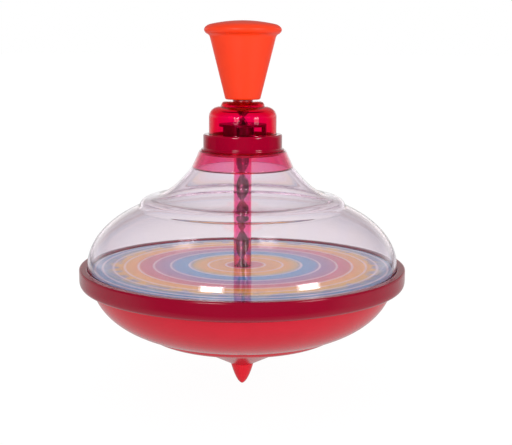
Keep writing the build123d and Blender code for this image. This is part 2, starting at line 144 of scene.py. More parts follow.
# %% Corner tools
def soften(outline, radius, steps=6, least_turn=14.0):
    """Rounds the corners of a closed outline. A corner P that turns by more than least_turn degrees
    becomes (1-s)^2 A + 2s(1-s) P + s^2 B, with A before P and B after it, both radius *
    tan(turn / 2) away."""
    back = np.roll(outline, 1, 0) - outline
    ahead = np.roll(outline, -1, 0) - outline
    back_length = np.linalg.norm(back, axis=1)
    ahead_length = np.linalg.norm(ahead, axis=1)
    u = back / back_length[:, None]
    v = ahead / ahead_length[:, None]
    turn = np.arccos(np.clip(-(u * v).sum(1), -1, 1))
    corner = turn > np.radians(least_turn)
    most_reach = 0.45 * np.minimum(back_length, ahead_length)
    reach = np.minimum(radius * np.tan(turn / 2), most_reach)
    s = np.linspace(0, 1, steps)[None, :, None]
    a = (outline + reach[:, None] * u)[:, None]
    b = (outline + reach[:, None] * v)[:, None]
    rounded = (1 - s) ** 2 * a + 2 * s * (1 - s) * outline[:, None] + s ** 2 * b
    rounded[~corner, 0] = outline[~corner]
    keep = np.ones(rounded.shape[:2], bool)
    keep[~corner, 1:] = False
    return rounded[keep]


def brace(outline, margin=0.25):
    """Adds a point a margin (mm) inside each end of every long run, at P + margin * unit run."""
    run = np.roll(outline, -1, 0) - outline
    length = np.linalg.norm(run, axis=1)
    step = (margin / np.maximum(length, margin))[:, None]
    points = np.stack([outline, outline + step * run, outline + (1 - step) * run], 1)
    keep = np.ones(points.shape[:2], bool)
    keep[length < 4 * margin, 1:] = False
    return points[keep]


square = np.array([(0.0, 0.0), (10.0, 0.0), (10.0, 10.0), (0.0, 10.0)])
print("corner tools: a square of 4 points becomes", len(brace(soften(square, 1.0))), "points")

# %% [markdown]
# ## The lathe
# Turning could be left to a Screw modifier, but then poles and seams need mending afterwards.
# Worked out as a grid of profile points by turns, the surface closes on itself, each point on
# the axis is one shared pole, and the sign of the volume tells whether the faces look outwards.

# %% The lathe
ON_AXIS = 1e-9           # metres, radius under which a point is a pole
SHARP = 32.0             # degrees, over which an edge is shaded sharp


def lathe(name, outline, body, node, material, steps=240):
    """Turns a closed outline of (radius, height) in mm about the spin axis: the point (r, z) at the
    angle a lies at (r cos a, r sin a, z). Points on the axis are merged into one pole."""
    radius, height = (brace(outline) * MM).T
    angle = np.linspace(0, 2 * np.pi, steps, endpoint=False)[:, None]
    ring = np.ones_like(angle)
    points = np.stack([np.cos(angle) * radius, np.sin(angle) * radius, ring * height], -1)
    index = np.arange(steps * len(radius)).reshape(steps, -1)
    index[:, radius < ON_AXIS] = index[0, radius < ON_AXIS]
    turned = np.roll(index, -1, 0)
    quads = np.stack([index, turned, np.roll(turned, -1, 1), np.roll(index, -1, 1)], -1)
    quads = quads.reshape(-1, 4)
    flat = points.reshape(-1, 3)
    first, second, third, fourth = (flat[quads[:, place]] for place in range(4))
    volume = np.einsum("ij,ij->", first, np.cross(second, third) + np.cross(third, fourth)) / 6
    if volume < 0:
        quads = quads[:, ::-1]
    differs = quads != np.roll(quads, -1, 1)        # at a pole two corners of a quad are one point
    real = differs.sum(1) > 2
    corners = quads[real][differs[real]]
    sizes = differs[real].sum(1)
    used, compact = np.unique(corners, return_inverse=True)
    mesh = bpy.data.meshes.new(name)
    mesh.vertices.add(len(used))
    mesh.vertices.foreach_set("co", flat[used].ravel())
    mesh.loops.add(len(compact))
    mesh.loops.foreach_set("vertex_index", compact.astype(np.int32))
    mesh.polygons.add(len(sizes))
    mesh.polygons.foreach_set("loop_start", (np.cumsum(sizes) - sizes).astype(np.int32))
    mesh.polygons.foreach_set("use_smooth", np.ones(len(sizes), bool))
    mesh.update(calc_edges=True)
    mesh.set_sharp_from_angle(angle=np.radians(SHARP))
    mesh.materials.append(material)
    piece = bpy.data.objects.new(name, mesh)
    bpy.context.scene.collection.objects.link(piece)
    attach(piece, body)
    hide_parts(node)
    print(f"{name}: {len(sizes)} faces, volume {abs(volume) * 1e6:.2f} cm3")


def span(node):
    """Lowest height, top height and outer radius of a node of the frame, in mm."""
    low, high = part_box(node)
    return low.z / MM, high.z / MM, high.x / MM


print("span tool: the dome reaches from", *(round(value, 2) for value in span("clear_dome")[:2]))

# %% [markdown]
# ## Moulded plastics
# The bowl, rim, tip and handle are injection-moulded and coloured through. One flat colour would
# do for a toy seen from afar, but a moulded skin isn't dead even: the melt leaves a faint mottle
# in the colour, and the tool's polish a slow waviness that bends a highlight. Both are noise on
# object coordinates, at real sizes, and very weak.

# %% Opaque mouldings
MOTTLE = 9.0             # mm from one cloud of the mottle to the next
SOAK = (0.004, 0.0015, 0.001)        # m that red, green and blue light spreads under a soft skin


def moulded(name, colour, deep, roughness, ior=1.5, wave=12.0, wave_depth=0.02, grain=0.6,
            grain_depth=0.0, soft=0.0):
    """Coloured plastic: a mottle between two colours, a wave of the surface and a fine grain. wave
    and grain are sizes in mm, the depths are in mm, and soft is the share that light soaks into."""
    material, tree = new_material(name)
    place = add(tree, "ShaderNodeTexCoord").outputs["Object"]
    mottle = add(tree, "ShaderNodeTexNoise",
                 {"Scale": PER_MM / MOTTLE, "Detail": 3.0, "Roughness": 0.5}, {"Vector": place})
    shade = add(tree, "ShaderNodeMix", {"data_type": "RGBA", 6: linear(colour), 7: linear(deep)},
                {0: mottle})
    waves = add(tree, "ShaderNodeTexNoise", {"Scale": PER_MM / wave, "Detail": 1.0},
                {"Vector": place})
    bump = add(tree, "ShaderNodeBump", {"Strength": 1.0, "Distance": wave_depth * MM},
               {"Height": waves})
    if grain_depth:
        specks = add(tree, "ShaderNodeTexNoise", {"Scale": PER_MM / grain, "Detail": 2.0},
                     {"Vector": place})
        bump = add(tree, "ShaderNodeBump", {"Strength": 1.0, "Distance": grain_depth * MM},
                   {"Height": specks, "Normal": bump})
    polish = add(tree, "ShaderNodeMapRange",
                 {"To Min": roughness * 0.85, "To Max": roughness * 1.15}, {"Value": mottle})
    skin = add(tree, "ShaderNodeBsdfPrincipled",
               {"IOR": ior, "Subsurface Weight": soft, "Subsurface Radius": SOAK},
               {"Base Color": shade.outputs[2], "Roughness": polish, "Normal": bump})
    add(tree, "ShaderNodeOutputMaterial", None, {"Surface": skin})
    return material


# Polished ABS: an even, deep red with clear but soft-edged highlights. The index is a little under
# the plastic's own 1.5, because a used tool doesn't leave a perfect polish.
crimson_bowl = moulded("crimson_abs_injection_moulded", "#CE1A31", "#C4162D", 0.16, ior=1.42)
crimson_rim = moulded("deep_crimson_abs_injection_moulded", "#940328", "#8C0224", 0.14, ior=1.42)
# Nylon for the tip, which has to wear well: a little duller, with a short wave.
red_tip_nylon = moulded("red_nylon_tip_moulded", "#E8142C", "#DC1028", 0.22, ior=1.42, wave=3.0,
                        wave_depth=0.03)
# Polypropylene from a lightly blasted tool: satin, slightly glowing, with broad pale highlights.
orange_handle = moulded("orange_polypropylene_satin_moulded", "#FF3E0C", "#FB390B", 0.40, ior=1.42,
                        grain=0.5, grain_depth=0.01, soft=0.05)
# Plain polystyrene for the tray: satin white, which shows only at the disc's edge.
white_tray = moulded("white_polystyrene_moulded", "#E9E4E2", "#E3DEDC", 0.35)
# Acetal slides on steel: dense, waxy and plain. The nut is a hard, dark polycarbonate.
dark_plug = moulded("dark_acetal_plug_moulded", "#2A1016", "#220C12", 0.3, wave=3.0)
red_bush = moulded("red_acetal_bush_moulded", "#C4142A", "#B81024", 0.3, wave=3.0)
plum_nut = moulded("plum_polycarbonate_nut_moulded", "#4A0A1C", "#3C0816", 0.3, wave=3.0)
print("moulded plastics:", sum("_moulded" in material.name for material in bpy.data.materials))

# %% [markdown]
# ## Clear and tinted plastics
# The dome is clear polystyrene. The cap, the collar and the tube are a pink-tinted clear plastic,
# in three strengths, and the ring between them is a denser, slightly milky moulding of the same
# pink. A see-through colour could be painted on the surface, but real tint is depth: light that
# crosses more plastic loses more of its green and blue. So the absorption sits in the volume,
# per millimetre of wall. Glass would shut the lamps out, so for a lamp's rays the wall is
# transparent, and light that has been mirrored twice inside a wall is let out, where real
# plastic scatters it.

# %% Clear mouldings
def clear_plastic(name, loss, ior=1.30, wave=20.0, wave_depth=0.02, coat=0.8, clear=1.0,
                  body="#FFFFFF"):
    """Clear plastic of which the share clear lets light through and the rest shows the colour body.
    It takes loss = (red, green, blue) out of the light per mm of its wall, as exp(-loss * depth).
    The volume node writes that as density * (1 - colour), so the colour is 1 - loss / density. The
    index is under the plastic's own 1.5 to 1.6, so that thin walls bend what is behind them only a
    little, and the coat gives the outer shine back."""
    material, tree = new_material(name)
    place = add(tree, "ShaderNodeTexCoord").outputs["Object"]
    waves = add(tree, "ShaderNodeTexNoise", {"Scale": PER_MM / wave, "Detail": 1.0},
                {"Vector": place})
    bump = add(tree, "ShaderNodeBump", {"Strength": 1.0, "Distance": wave_depth * MM},
               {"Height": waves})
    glass = add(tree, "ShaderNodeBsdfPrincipled",
                {"Base Color": linear(body), "IOR": ior, "Roughness": 0.01,
                 "Transmission Weight": clear, "Coat Weight": coat, "Coat Roughness": 0.02,
                 "Coat IOR": 1.5}, {"Normal": bump})
    through = add(tree, "ShaderNodeBsdfTransparent", {"Color": linear("#F7F7F7")})
    path = add(tree, "ShaderNodeLightPath")
    trapped = add(tree, "ShaderNodeMath", {"operation": "GREATER_THAN", 1: 1.5},
                  {0: path.outputs["Glossy Depth"]})
    let_out = add(tree, "ShaderNodeMath", {"operation": "MAXIMUM"},
                  {0: path.outputs["Is Shadow Ray"], 1: trapped})
    mix = add(tree, "ShaderNodeMixShader", None, {0: let_out, 1: glass, 2: through})
    density = 1.05 * max(loss) * PER_MM
    colour = [1 - share * PER_MM / density for share in loss]
    tint = add(tree, "ShaderNodeVolumeAbsorption", {"Color": (*colour, 1.0), "Density": density})
    add(tree, "ShaderNodeOutputMaterial", None, {"Surface": mix, "Volume": tint})
    return material


# Losses per mm of wall, red, green and blue. The more of the green goes, the deeper the pink.
DOME_LOSS = (0.035, 0.060, 0.042)
CAP_LOSS = (0.06, 3.10, 0.80)
COLLAR_LOSS = (0.05, 1.00, 0.60)
RING_LOSS = (0.08, 2.40, 0.90)
TUBE_LOSS = (0.03, 0.85, 0.40)
# Clear polystyrene in a thin wall: a faint grey-lilac body and sharp white highlights.
clear_polystyrene = clear_plastic("clear_polystyrene_injection_moulded", DOME_LOSS, ior=1.2)
# Tinted SAN, a clear and hard plastic: jewel-like, darker wherever two walls lie in line.
pink_san = clear_plastic("pink_tinted_san_injection_moulded", CAP_LOSS, wave=9.0,
                         wave_depth=0.006, coat=0.2)
pale_pink_san = clear_plastic("pale_pink_tinted_san_injection_moulded", COLLAR_LOSS, wave=9.0)
dark_pink_san = clear_plastic("dark_pink_tinted_san_injection_moulded", RING_LOSS, wave=9.0,
                              wave_depth=0.006, coat=0.4, clear=0.35, body="#B40432")
# The tube is extruded, so its waves are long.
pink_tube = clear_plastic("pink_tinted_san_extruded_tube", TUBE_LOSS, wave=30.0)
print("clear plastics:", sum(word in material.name for material in bpy.data.materials
                             for word in ("clear_polystyrene", "tinted_san")))

# %% [markdown]
# ## Steel
# The rod is cold-drawn flat strip, twisted into a coarse screw, and the pin and slotted plate are
# the same bright steel. A plain metal would mirror too cleanly: drawing leaves fine lines along
# the strip, which spread a highlight across it. They are noise stretched along the strip. Inside
# the dark pink tube the strip reads as a dark ribbon with a few bright glints. Its colour is set
# far darker than bright steel: painted shade, so that the strip stays dark where it would mirror
# the white studio.

# %% Steel
LINE_WIDTH, LINE_LENGTH = 0.25, 10.0     # mm; real drawing lines are finer, too fine to be seen


def drawn_steel(name, colour, roughness):
    """Metal with fine lines along the axis: noise stretched by LINE_LENGTH / LINE_WIDTH along Z."""
    material, tree = new_material(name)
    place = add(tree, "ShaderNodeTexCoord").outputs["Object"]
    across, along = PER_MM / LINE_WIDTH, PER_MM / LINE_LENGTH
    stretch = add(tree, "ShaderNodeMapping", {"Scale": (across, across, along)}, {"Vector": place})
    lines = add(tree, "ShaderNodeTexNoise", {"Scale": 1.0, "Detail": 2.0}, {"Vector": stretch})
    rough = add(tree, "ShaderNodeMapRange",
                {"To Min": roughness * 0.7, "To Max": roughness * 1.3}, {"Value": lines})
    bump = add(tree, "ShaderNodeBump", {"Strength": 0.3, "Distance": 0.01 * MM}, {"Height": lines})
    metal = add(tree, "ShaderNodeBsdfPrincipled", {"Base Color": linear(colour), "Metallic": 1.0},
                {"Roughness": rough, "Normal": bump})
    add(tree, "ShaderNodeOutputMaterial", None, {"Surface": metal})
    return material


# Painted shade: this colour is far darker than bright steel, so that strip, pin and plate look
# dark.
painted_dark_steel = drawn_steel("cold_drawn_steel_strip", "#7C7470", 0.24)
print("steel:", painted_dark_steel.name)

# %% [markdown]
# ## The printed disc
# The disc under the dome carries closed rings of colour with thin white rings between them, the
# traditional decoration of tops, which stays still to the eye as the top spins. It could be many
# thin rings of mesh, but print has no thickness, so it is drawn in the material. The print sits a
# little off the axis, as such discs do. The colour is a ramp over the distance from the print's
# centre, loosened by noise so that it looks painted, and a second ramp draws the white rings.

# %% Rings of the print
DISC_RADIUS = 92.0
PRINT_CENTRE = (1.8, 2.0)
RING_COLOURS = (
    (0.0, "#B23A5C"), (9.0, "#BC4262"), (12.5, "#DA8E3C"), (26.0, "#DA983A"), (30.0, "#BC9858"),
    (34.0, "#3A84BC"), (41.0, "#3C7EB8"), (45.0, "#86629C"), (52.0, "#98588A"), (55.0, "#BC4066"),
    (61.0, "#C0485E"), (64.0, "#DE8A2C"), (70.0, "#DE9A28"), (76.0, "#CC9C32"), (80.0, "#74808C"),
    (84.0, "#3A82B4"), (92.0, "#3A76B0"),
)
WHITE_RINGS = (11.5, 21.9, 32.9, 43.9, 53.8, 62.8, 70.8, 77.3, 83.5, 88.0)
LINE_HALF_WIDTH = 1.0


def fill_ramp(ramp, stops):
    """Puts (radius, colour) stops into a colour ramp: the place is radius / the disc's radius."""
    elements = ramp.color_ramp.elements
    for radius, colour in stops[1:-1]:
        elements.new(radius / DISC_RADIUS)
    for element, (radius, colour) in zip(elements, stops):
        element.position = radius / DISC_RADIUS
        element.color = colour


print("printed disc:", len(RING_COLOURS), "ring colours,", len(WHITE_RINGS), "white rings")

# %% [markdown]
# ## Ink and film
# Painted rings aren't even: their edges wander, the outer ochre ring is broken by soft blue
# patches, and fine strokes make the ink lighter and darker. Each is a noise of its own size. Last
# comes what makes it a toy's disc, a clear gloss film over the whole print.

# %% Printed card
WANDER = 1.6             # mm that a ring's edge wanders in and out
WANDER_LUMPS, PATCH_LUMPS, STROKE_LUMPS = 0.07, 0.11, 0.5     # of each noise, per mm
PATCHED_FROM, PATCHED_FULLY = 71.0, 76.0


def printed_card(name):
    """Rings of colour by radius, white rings between them, soft patches and a gloss film."""
    material, tree = new_material(name)
    place = add(tree, "ShaderNodeTexCoord").outputs["Object"]
    flat = add(tree, "ShaderNodeMapping",
               {"Scale": (PER_MM, PER_MM, 0.0),
                "Location": (-PRINT_CENTRE[0], -PRINT_CENTRE[1], 0.0)}, {"Vector": place})
    radius = add(tree, "ShaderNodeVectorMath", {"operation": "LENGTH"}, {0: flat}).outputs["Value"]
    drift = add(tree, "ShaderNodeTexNoise", {"Scale": WANDER_LUMPS, "Detail": 2.0},
                {"Vector": flat})
    shift = add(tree, "ShaderNodeMapRange", {"To Min": -WANDER, "To Max": WANDER},
                {"Value": drift})
    loose = add(tree, "ShaderNodeMath", {"operation": "ADD"}, {0: radius, 1: shift})
    loose_share = add(tree, "ShaderNodeMath", {"operation": "DIVIDE", 1: DISC_RADIUS}, {0: loose})
    share = add(tree, "ShaderNodeMath", {"operation": "DIVIDE", 1: DISC_RADIUS}, {0: radius})
    bands = add(tree, "ShaderNodeValToRGB", None, {0: loose_share})
    fill_ramp(bands, [(ring, linear(colour)) for ring, colour in RING_COLOURS])
    lines = add(tree, "ShaderNodeValToRGB", None, {0: share})
    stops = [(ring + side * LINE_HALF_WIDTH, BLACK if side else WHITE)
             for ring in WHITE_RINGS for side in (-1, 0, 1)]
    fill_ramp(lines, [(0.0, BLACK), *stops, (DISC_RADIUS, BLACK)])
    patch = add(tree, "ShaderNodeTexNoise", {"Scale": PATCH_LUMPS, "Detail": 1.0},
                {"Vector": flat})
    patches = add(tree, "ShaderNodeMapRange",
                  {"interpolation_type": "SMOOTHSTEP", "From Min": 0.50, "From Max": 0.58},
                  {"Value": patch})
    outer = add(tree, "ShaderNodeMapRange",
                {"interpolation_type": "SMOOTHSTEP", "From Min": PATCHED_FROM,
                 "From Max": PATCHED_FULLY, "To Max": 0.75}, {"Value": radius})
    patchy = add(tree, "ShaderNodeMath", {"operation": "MULTIPLY"}, {0: patches, 1: outer})
    blotched = add(tree, "ShaderNodeMix", {"data_type": "RGBA", 7: linear("#4C6CA4")},
                   {0: patchy, 6: bands})
    strokes = add(tree, "ShaderNodeTexNoise", {"Scale": STROKE_LUMPS, "Detail": 4.0},
                  {"Vector": flat})
    tone = add(tree, "ShaderNodeMapRange",
               {"From Min": 0.3, "From Max": 0.7, "To Min": 0.85, "To Max": 1.15},
               {"Value": strokes})
    ink = add(tree, "ShaderNodeHueSaturation", None,
              {"Color": blotched.outputs[2], "Value": tone})
    faint = add(tree, "ShaderNodeMath", {"operation": "MULTIPLY", 1: 0.8}, {0: lines})
    printed = add(tree, "ShaderNodeMix", {"data_type": "RGBA", 7: linear("#F0DDE6")},
                  {0: faint, 6: ink})
    film = add(tree, "ShaderNodeBsdfPrincipled", {"IOR": 1.5, "Roughness": 0.04},
               {"Base Color": printed.outputs[2]})
    add(tree, "ShaderNodeOutputMaterial", None, {"Surface": film})
    return material


paint("printed_disc", printed_card("printed_card_gloss_laminated"))
paint("disc_tray", white_tray)
print("painted: printed_disc, disc_tray")

# %% [markdown]
# ## The mechanism
# Pushed down, the twisted strip turns the nut, and the nut's claws push the hub's ribs. These
# pieces could be redrawn too, but their slots, claws and ribs already fit each other in the
# frame's meshes, so only their surfaces are dressed.

# %% Mechanism
mechanism = {
    "twisted_rod": painted_dark_steel, "drive_plate": painted_dark_steel, "handle_cross_pin": painted_dark_steel,
    "guide_bush": red_bush, "rod_end_plug": dark_plug, "drive_nut": plum_nut,
    "clutch_hub": pink_san,
}
for node_name, finish in mechanism.items():
    paint(node_name, finish)
print("mechanism:", len(mechanism), "pieces painted")

# %% [markdown]
# ## Lower bowl
# The bowl is one moulded shell that flares from a round mouth up to the rim. A cut sphere with a
# Solidify modifier would be quick, but this side starts almost level and ends almost upright, so
# it is a curve with those two slopes. Its lower lip is well rounded, which draws a bright line
# round it. Inside the lip a ledge holds the bottom cover.

# %% Lower bowl
seat, _, flange_radius = span("clear_dome")
bowl_low = span("lower_bowl")[0]
cover_low, cover_top, cover_radius = span("bottom_cover")
FLANGE = 1.6             # mm, each of the two flanges that the rim clamps
BOWL_WALL = 2.0
MOUTH_RADIUS, LEDGE_RADIUS = 61.0, 53.0
shoulder = (88.5, 63.4)
upright = (88.8, 66.4)
ledge_root = (62.8, cover_top + 1.8)
side = np.concatenate([
    curve((MOUTH_RADIUS, bowl_low), shoulder, leave=(20.0, 22.8), arrive=(76.0, 6.6), steps=80),
    curve(shoulder, upright, leave=(76.0, 0.15), arrive=(90.0, 1.5), steps=12)[1:],
])
inside = beside(side, -BOWL_WALL)[::-1]
bowl_outline = np.concatenate([
    side,
    [(upright[0], seat - FLANGE), (flange_radius, seat - FLANGE), (flange_radius, seat)],
    [(upright[0] - BOWL_WALL, seat)],
    inside[inside[:, 0] > ledge_root[0] + 0.1],
    [ledge_root, (LEDGE_RADIUS, ledge_root[1]), (LEDGE_RADIUS, cover_top)],
    [(MOUTH_RADIUS, cover_top), (MOUTH_RADIUS, bowl_low + 2.2), (60.35, bowl_low + 1.9)],
])
lathe("bowl_shell", soften(bowl_outline, 0.9), "top_body", "lower_bowl", crimson_bowl)

# %% [markdown]
# ## Rim
# The rim is a band that snaps over the flanges of bowl and dome and holds them together. It could
# be drawn as part of the bowl, but it is a piece of its own in a deeper red. A round underside
# rises to a straight outer wall, and the flat top runs in to the dome.

# %% Rim
_, rim_top, rim_radius = span("rim_ring")
RIM_INSIDE, RIM_MOUTH = 93.1, 90.35      # clear of the flanges, and clear of the dome
band_foot = (rim_radius, 66.5)
rim_outline = np.concatenate([
    curve((87.93, 60.85), band_foot, leave=(33.0, 3.4), arrive=(90.0, 5.5)),
    [(rim_radius, rim_top), (RIM_MOUTH, rim_top), (RIM_MOUTH, seat + FLANGE)],
    [(RIM_INSIDE, seat + FLANGE), (RIM_INSIDE, 66.2)],
    [(92.6, 64.4), (91.0, 63.8), (88.6, 63.1)],     # round underside, seen from inside
])
lathe("rim_band", soften(rim_outline, 0.9), "top_body", "rim_ring", crimson_rim)

# %% [markdown]
# ## Bottom cover
# The cover closes the bowl's mouth and carries the tip: a dish with a full, round edge, a cone
# that comes down to the tip, and inside it an upright socket for the tube. A flat disc and a cone
# would meet in hard lines, so edge and dish are one curve and only the cone's foot is a corner.

# %% Bottom cover
tip_low, peg_top, tip_radius = span("spinning_tip")
PEG_HOLE, SOCKET_BORE, SOCKET_RADIUS = 3.54, 5.19, 7.59
SOCKET_FLOOR, SOCKET_TOP = 23.0, 35.0
cover_outline = np.concatenate([
    [(cover_radius, cover_top)],
    curve((cover_radius, cover_top - 0.3), (52.4, 31.33), leave=(-90.0, 5.1), arrive=(-164.5, 5.1)),
    [(30.6, 25.3), (tip_radius, cover_low)],        # outside of the cone
    [(PEG_HOLE, cover_low), (PEG_HOLE, SOCKET_FLOOR), (SOCKET_BORE, SOCKET_FLOOR)],
    [(SOCKET_BORE, SOCKET_TOP), (SOCKET_RADIUS, SOCKET_TOP)],
    [(SOCKET_RADIUS, 15.7), (30.1, 27.3)],          # inside of the cone
    curve((51.9, 33.3), (57.5, cover_top), leave=(15.5, 4.0), arrive=(90.0, 4.0), steps=24),
])
lathe("cover_dish", soften(cover_outline, 1.4), "top_body", "bottom_cover", crimson_bowl)

# %% [markdown]
# ## Tip
# The tip is a separate nylon piece, pressed into the cover with a peg, because it wears on the
# floor. A plain cone would end in a needle. The real point is blunt, so the curve leaves the axis
# almost level and then turns up steeply.

# %% Tip
PEG_RADIUS = 3.5
tip_outline = np.concatenate([
    curve((0.0, tip_low), (tip_radius, cover_low), leave=(14.0, 3.3), arrive=(75.0, 4.3), steps=30),
    [(PEG_RADIUS, cover_low), (PEG_RADIUS, peg_top), (0.0, peg_top)],
])
lathe("tip_cone", soften(tip_outline, 0.3), "top_body", "spinning_tip", red_tip_nylon,
      steps=120)

# %% [markdown]
# ## Clear dome
# The dome is one clear moulding with a thin wall of even thickness. A single skin would be
# lighter to draw, but light wouldn't bend in it as in the real shell, so the inner face is the
# outer one moved in by the wall. The outside runs from the neck down a hollow flare, over a
# stepped shoulder and round the full crown to a foot inside the rim. The neck goes on up inside
# the collar.

# %% Dome
DOME_WALL = 1.8
NECK_TOP = 139.3
neck = (29.3, 130.4)
ledge = (52.0, 113.4)
step_low, crown_start = (59.6, 108.95), (61.1, 107.33)
crown_foot = (90.2, rim_top + 0.8)
outside = np.concatenate([
    curve(neck, ledge, leave=(-48.5, 8.9), arrive=(-8.0, 10.1), steps=50),
    curve(ledge, step_low, leave=(-8.0, 3.8), arrive=(-72.0, 3.4), steps=30)[1:],
    curve(step_low, crown_start, leave=(-72.0, 0.9), arrive=(-23.0, 0.9), steps=14)[1:],
    curve(crown_start, crown_foot, leave=(-23.0, 20.8), arrive=(-90.0, 12.5), steps=90)[1:],
])
dome_outline = np.concatenate([
    outside,
    [(crown_foot[0], seat + FLANGE), (flange_radius, seat + FLANGE), (flange_radius, seat)],
    [(crown_foot[0] - DOME_WALL, seat)],
    beside(outside, DOME_WALL)[::-1],
    [(26.7, 129.6), (22.4, NECK_TOP)],              # inside of the neck
    [(24.0, NECK_TOP), (27.95, neck[1])],           # its outside, under the collar
])
lathe("dome_shell", soften(dome_outline, 0.5), "top_body", "clear_dome",
      clear_polystyrene, steps=220)

# %% [markdown]
# ## Collar
# Above the dome four tinted pieces nest. The first is a conical collar, flush with the flare,
# which covers the dome's neck. It could be a plain truncated cone, but through tinted plastic
# both faces show, so it has its real wall and a flat top that the ring stands on.

# %% Collar
COLLAR_TOP = 140.3
collar_outline = np.array([
    neck, (24.9, COLLAR_TOP), (22.4, COLLAR_TOP), (22.4, NECK_TOP), (24.12, NECK_TOP),
    (28.1, neck[1]),
])
lathe("collar_cone", soften(collar_outline, 0.35), "top_body", "skirt_collar",
      pale_pink_san)

# %% [markdown]
# ## Neck ring
# The ring stands on the collar and plugs into the dome's neck with a short spigot. The cap stands
# inside it, and the ring's inward lip closes up to the cap's side. A plain tube would have the
# outside right, but through this plastic the inside shows a little, so all its walls are there,
# and their rounded corners catch the light.

# %% Neck ring
SPIGOT_INSIDE, SPIGOT_OUTSIDE, SPIGOT_FOOT = 20.75, 22.25, 137.5
RING_RADIUS, RING_INSIDE, RING_TOP = 22.75, 21.0, 149.5
RING_FLANGE, FLANGE_TOP = 24.0, 141.2
LIP_RADIUS, LIP_FOOT = 19.6, 147.9
HUB_SEAT, HUB_SEAT_TOP = 18.5, 141.0
ring_outline = np.array([
    (SPIGOT_INSIDE, SPIGOT_FOOT), (SPIGOT_OUTSIDE, SPIGOT_FOOT), (SPIGOT_OUTSIDE, COLLAR_TOP),
    (RING_FLANGE, COLLAR_TOP), (RING_FLANGE, FLANGE_TOP), (RING_RADIUS, FLANGE_TOP),
    (RING_RADIUS, RING_TOP), (LIP_RADIUS, RING_TOP), (LIP_RADIUS, LIP_FOOT),
    (RING_INSIDE, LIP_FOOT), (RING_INSIDE, HUB_SEAT_TOP), (HUB_SEAT, HUB_SEAT_TOP),
    (HUB_SEAT, NECK_TOP), (SPIGOT_INSIDE, NECK_TOP),
])
lathe("ring_band", soften(ring_outline, 0.8), "top_body", "neck_ring",
      dark_pink_san)

# %% [markdown]
# ## Cap
# The cap houses the nut and guides the rod with the bush in its top. A rounded cylinder would
# miss its two steps of shoulder: a low boss round the bush, then a slope that turns down into the
# straight side. Each is a curve of its own, outside and inside.

# %% Cap
cap_low, cap_top, cap_radius = span("top_cap")
CAP_WALL = 1.6
BUSH_HOLE, BOSS_RADIUS = 4.77, 9.5
boss_foot = (12.7, cap_top - 2.8)
inner_foot = (12.3, cap_top - 4.4)
cap_side = (cap_radius, cap_top - 8.8)
inner_side = (cap_radius - CAP_WALL, cap_side[1])
inner_boss = (BOSS_RADIUS, cap_top - CAP_WALL)
cap_outline = np.concatenate([
    [(BUSH_HOLE, cap_top)],
    curve((BOSS_RADIUS, cap_top), boss_foot, leave=(0.0, 2.8), arrive=(-70.0, 1.4), steps=16),
    curve(boss_foot, cap_side, leave=(-3.0, 4.8), arrive=(-90.0, 2.8), steps=30)[1:],
    [(cap_radius, cap_low), (inner_side[0], cap_low)],
    curve(inner_side, inner_foot, leave=(90.0, 2.0), arrive=(177.0, 3.4), steps=24),
    curve(inner_foot, inner_boss, leave=(177.0, 1.0), arrive=(180.0, 1.4), steps=12)[1:],
    [(BUSH_HOLE, inner_boss[1])],
])
lathe("cap_shell", soften(cap_outline, 0.4), "top_body", "top_cap", pink_san)

# %% [markdown]
# ## Tube
# A long thin tube runs from the hub down to the cover and keeps the rod on the axis. It could be
# a cylinder with a Solidify modifier. On the lathe its outline is a plain rectangle, and the wall
# comes with it.

# %% Tube
tube_low, tube_high, _ = span("spindle_tube")
TUBE_RADIUS, TUBE_BORE = 5.15, 4.15
tube_outline = np.array([
    (TUBE_RADIUS, tube_low), (TUBE_RADIUS, tube_high),
    (TUBE_BORE, tube_high), (TUBE_BORE, tube_low),
])
lathe("tube_wall", soften(tube_outline, 0.2), "top_body", "spindle_tube", pink_tube,
      steps=120)

# %% [markdown]
# ## Handle
# The handle is a hollow cone that widens upwards, with a boss inside that grips the rod, and it
# flares out a little just under the lid. A stretched cone would miss that flare, which is the
# soft shadow line under the lid's edge, so it gets a short curve.

# %% Handle
handle_low, lid_low, handle_radius = span("handle_body")
ROD_HOLE, BOSS_OUTSIDE = 3.8, 6.2
handle_floor, boss_top = handle_low + 2.2, handle_low + 26.0
flare_foot = (handle_radius - 0.55, lid_low - 2.4)
flare_top = (20.9, lid_low - 0.1)
cone_outline = np.concatenate([
    [(ROD_HOLE, handle_low), (10.0, handle_low)],
    curve(flare_foot, flare_top, leave=(76.0, 1.3), arrive=(12.0, 1.2), steps=12),
    [(flare_top[0], lid_low), (17.0, lid_low), (8.3, handle_floor)],
    [(BOSS_OUTSIDE, handle_floor), (BOSS_OUTSIDE, boss_top), (ROD_HOLE, boss_top)],
])
lathe("handle_cone", soften(cone_outline, 1.1), "pump_handle", "handle_body",
      orange_handle)

# %% [markdown]
# ## Lid
# The lid takes the push of the palm: a shallow dome with a rolled edge, clipped into the cone by
# a plug ring. A squashed sphere would bulge too much in the middle. The real top is nearly flat
# and turns down fast at its edge, so it is three curves that share their slopes.

# %% Lid
lid_top = span("handle_lid")[1]
PLUG_OUTSIDE, PLUG_INSIDE, PLUG_FOOT = 15.15, 13.55, 201.5
lid_shoulder = (18.6, lid_top - 2.1)
lid_edge = (22.1, lid_low + 2.2)
lid_outline = np.concatenate([
    curve((0.0, lid_top), lid_shoulder, leave=(0.0, 9.3), arrive=(-13.0, 2.0), steps=24),
    curve(lid_shoulder, lid_edge, leave=(-13.0, 2.0), arrive=(-90.0, 1.0), steps=12)[1:],
    curve(lid_edge, (20.7, lid_low), leave=(-90.0, 1.1), arrive=(-160.0, 0.55), steps=10)[1:],
    [(PLUG_OUTSIDE, lid_low), (PLUG_OUTSIDE, PLUG_FOOT), (PLUG_INSIDE, PLUG_FOOT)],
    [(PLUG_INSIDE, 209.7), (0.0, lid_top - 2.0)],
])
lathe("handle_cap", soften(lid_outline, 0.4), "pump_handle", "handle_lid", orange_handle)

